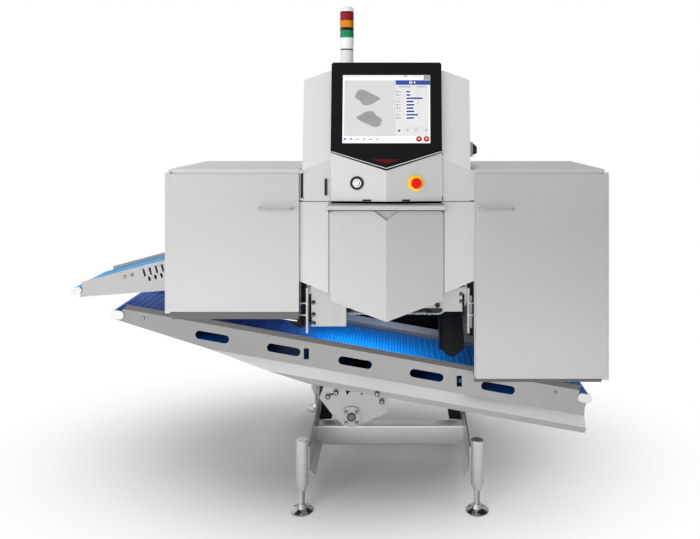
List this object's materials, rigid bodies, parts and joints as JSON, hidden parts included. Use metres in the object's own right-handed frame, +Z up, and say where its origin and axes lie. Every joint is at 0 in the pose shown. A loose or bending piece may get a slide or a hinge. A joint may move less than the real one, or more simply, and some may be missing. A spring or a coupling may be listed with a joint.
{
  "type": "food x-ray inspection machine",
  "caption": "X-ray inspection machine for food: tilted display head between hinged side hoods, inspection belt through the head and a long sloping take-away belt below.",
  "frame": {"origin": "centre of the bounding box on the floor plane", "axes": "+X along the belts towards the outfeed, +Y from the operator side to the back, +Z up"},
  "size_m": [2.0755, 1.093, 2.003],
  "materials": {
    "bead_steel": "bead-blasted stainless steel",
    "sheet_steel": "fine-ground stainless sheet",
    "polished_steel": "turned and polished",
    "post_black": "satin black",
    "motor_grey": "satin grey",
    "plate_zinc": "zinc plated",
    "source_grey": "satin grey",
    "detector_alu": "milled",
    "belt_light": "light blue belt",
    "belt_blue": "blue ribbed belt",
    "nose_white": "white",
    "spout_black": "black rubber",
    "curtain_grey": "lead rubber",
    "roller_rubber": "rubber lagged",
    "bezel_black": "gloss black",
    "screen": "lit display",
    "status_red": "dark red window",
    "tower_grey": "satin with white caps",
    "lamp_green": "ribbed lens",
    "lamp_amber": "ribbed lens",
    "lamp_red": "ribbed lens",
    "estop_yellow": "yellow",
    "estop_red": "red",
    "key_white": "white ring",
    "key_metal": "polished",
    "switch_grey": "light grey",
    "switch_black": "black"
  },
  "bodies": {
    "frame": {"side_frames": "sheet_steel", "cross_tubes": "sheet_steel", "frame_posts": "post_black", "leg_tubes": "sheet_steel", "cabinet_shell": "bead_steel", "electrical_backplate": "plate_zinc", "head_shell": "bead_steel", "lower_shoulders": "bead_steel", "control_panel": "bead_steel", "display_bezel": "bezel_black", "screen_glass": "screen", "status_window": "status_red", "xray_source": "source_grey", "collimator": "source_grey", "detector_box": "detector_alu", "curtain_rods": "sheet_steel", "hood_left": "bead_steel", "hood_right": "bead_steel", "hood_hinges": "sheet_steel", "outfeed_slide": "sheet_steel", "feed_side_plates": "sheet_steel", "feed_belt": "belt_light", "guard_plates": "sheet_steel", "drop_spout": "spout_black", "low_front_plate": "sheet_steel", "low_rear_plate": "sheet_steel", "low_belt": "belt_blue", "nose_bars": "nose_white", "low_bed": "nose_white", "low_drive_plates": "sheet_steel", "low_bearings": "polished_steel", "low_gearmotor": "motor_grey", "signal_tower": "tower_grey", "lamp_green": "lamp_green", "lamp_amber": "lamp_amber", "lamp_red": "lamp_red", "estop_plate": "estop_yellow", "key_ring": "key_white", "isolator_base": "switch_grey"},
    "foot_fl": {"foot_front_left": "polished_steel"},
    "foot_fr": {"foot_front_right": "polished_steel"},
    "foot_rl": {"foot_rear_left": "polished_steel"},
    "foot_rr": {"foot_rear_right": "polished_steel"},
    "door_left": {"hood_door_left": "bead_steel", "handle_left": "polished_steel"},
    "door_right": {"hood_door_right": "bead_steel", "handle_right": "polished_steel"},
    "cover_low": {"lower_door": "bead_steel", "door_rail": "polished_steel"},
    "door_rear": {"rear_door": "bead_steel"},
    "hatch": {"service_hatch": "bead_steel"},
    "curtain_l": {"tunnel_curtain_left": "curtain_grey"},
    "curtain_r": {"tunnel_curtain_right": "curtain_grey"},
    "drum": {"feed_drum": "roller_rubber"},
    "drive_shaft": {"low_drive_shaft": "polished_steel"},
    "snub_l": {"snub_roller_left": "roller_rubber"},
    "snub_r": {"snub_roller_right": "roller_rubber"},
    "stop_button": {"estop_button": "estop_red"},
    "key": {"key_plug": "key_metal"},
    "main_switch": {"isolator_knob": "switch_black"}
  },
  "joints": [
    {"name": "level_front_left", "type": "slide", "parent": "frame", "child": "foot_fl", "axis": [0, 0, 1], "range_m": [-0.02, 0]},
    {"name": "level_front_right", "type": "slide", "parent": "frame", "child": "foot_fr", "axis": [0, 0, 1], "range_m": [-0.02, 0]},
    {"name": "level_rear_left", "type": "slide", "parent": "frame", "child": "foot_rl", "axis": [0, 0, 1], "range_m": [-0.02, 0]},
    {"name": "level_rear_right", "type": "slide", "parent": "frame", "child": "foot_rr", "axis": [0, 0, 1], "range_m": [-0.02, 0]},
    {"name": "door_left_swing", "type": "hinge", "parent": "frame", "child": "door_left", "pos_m": [-0.64725, -0.4865, 1.04], "axis": [0, 0, -1], "range_deg": [0, 110]},
    {"name": "door_right_swing", "type": "hinge", "parent": "frame", "child": "door_right", "pos_m": [1.03475, -0.4865, 0.91], "axis": [0, 0, 1], "range_deg": [0, 110]},
    {"name": "lower_door_tilt", "type": "hinge", "parent": "frame", "child": "cover_low", "pos_m": [0.19175, -0.4775, 0.83], "axis": [1, 0, 0], "range_deg": [0, 50]},
    {"name": "rear_door_swing", "type": "hinge", "parent": "frame", "child": "door_rear", "pos_m": [-0.13725, 0.3975, 0.8], "axis": [0, 0, 1], "range_deg": [0, 110]},
    {"name": "hatch_swing", "type": "hinge", "parent": "frame", "child": "hatch", "pos_m": [-0.13125, -0.4788, 1.25], "axis": [0, 0, -1], "range_deg": [0, 80]},
    {"name": "curtain_left_swing", "type": "hinge", "parent": "frame", "child": "curtain_l", "pos_m": [-0.10225, -0.2825, 1.176], "axis": [0, 1, 0], "range_deg": [-50, 50]},
    {"name": "curtain_right_swing", "type": "hinge", "parent": "frame", "child": "curtain_r", "pos_m": [0.48575, -0.2825, 1.176], "axis": [0, 1, 0], "range_deg": [-50, 50]},
    {"name": "inspection_belt_drive", "type": "hinge", "parent": "frame", "child": "drum", "pos_m": [0.38917, -0.2825, 0.787], "axis": [0, 1, 0], "continuous": true},
    {"name": "take_away_drive", "type": "hinge", "parent": "frame", "child": "drive_shaft", "pos_m": [0.05726, -0.2425, 0.36701], "axis": [0, 1, 0], "continuous": true},
    {"name": "snub_left_turn", "type": "hinge", "parent": "frame", "child": "snub_l", "pos_m": [0.01204, -0.2425, 0.4779], "axis": [0, 1, 0], "continuous": true},
    {"name": "snub_right_turn", "type": "hinge", "parent": "frame", "child": "snub_r", "pos_m": [0.13808, -0.2425, 0.45561], "axis": [0, 1, 0], "continuous": true},
    {"name": "stop_press", "type": "slide", "parent": "frame", "child": "stop_button", "axis": [-0.1033, 0.9947, 0], "range_m": [0, 0.006]},
    {"name": "key_turn", "type": "hinge", "parent": "frame", "child": "key", "pos_m": [0.08075, -0.499, 1.267], "axis": [-0.1033, -0.9947, 0], "range_deg": [0, 90]},
    {"name": "main_switch_turn", "type": "hinge", "parent": "frame", "child": "main_switch", "pos_m": [0.56175, -0.1525, 1.381], "axis": [1, 0, 0], "range_deg": [0, 90]}
  ],
  "couplings": [
    {"joint": "snub_left_turn", "follows": "take_away_drive", "ratio": -1.1333},
    {"joint": "snub_right_turn", "follows": "take_away_drive", "ratio": -1.1333}
  ]
}
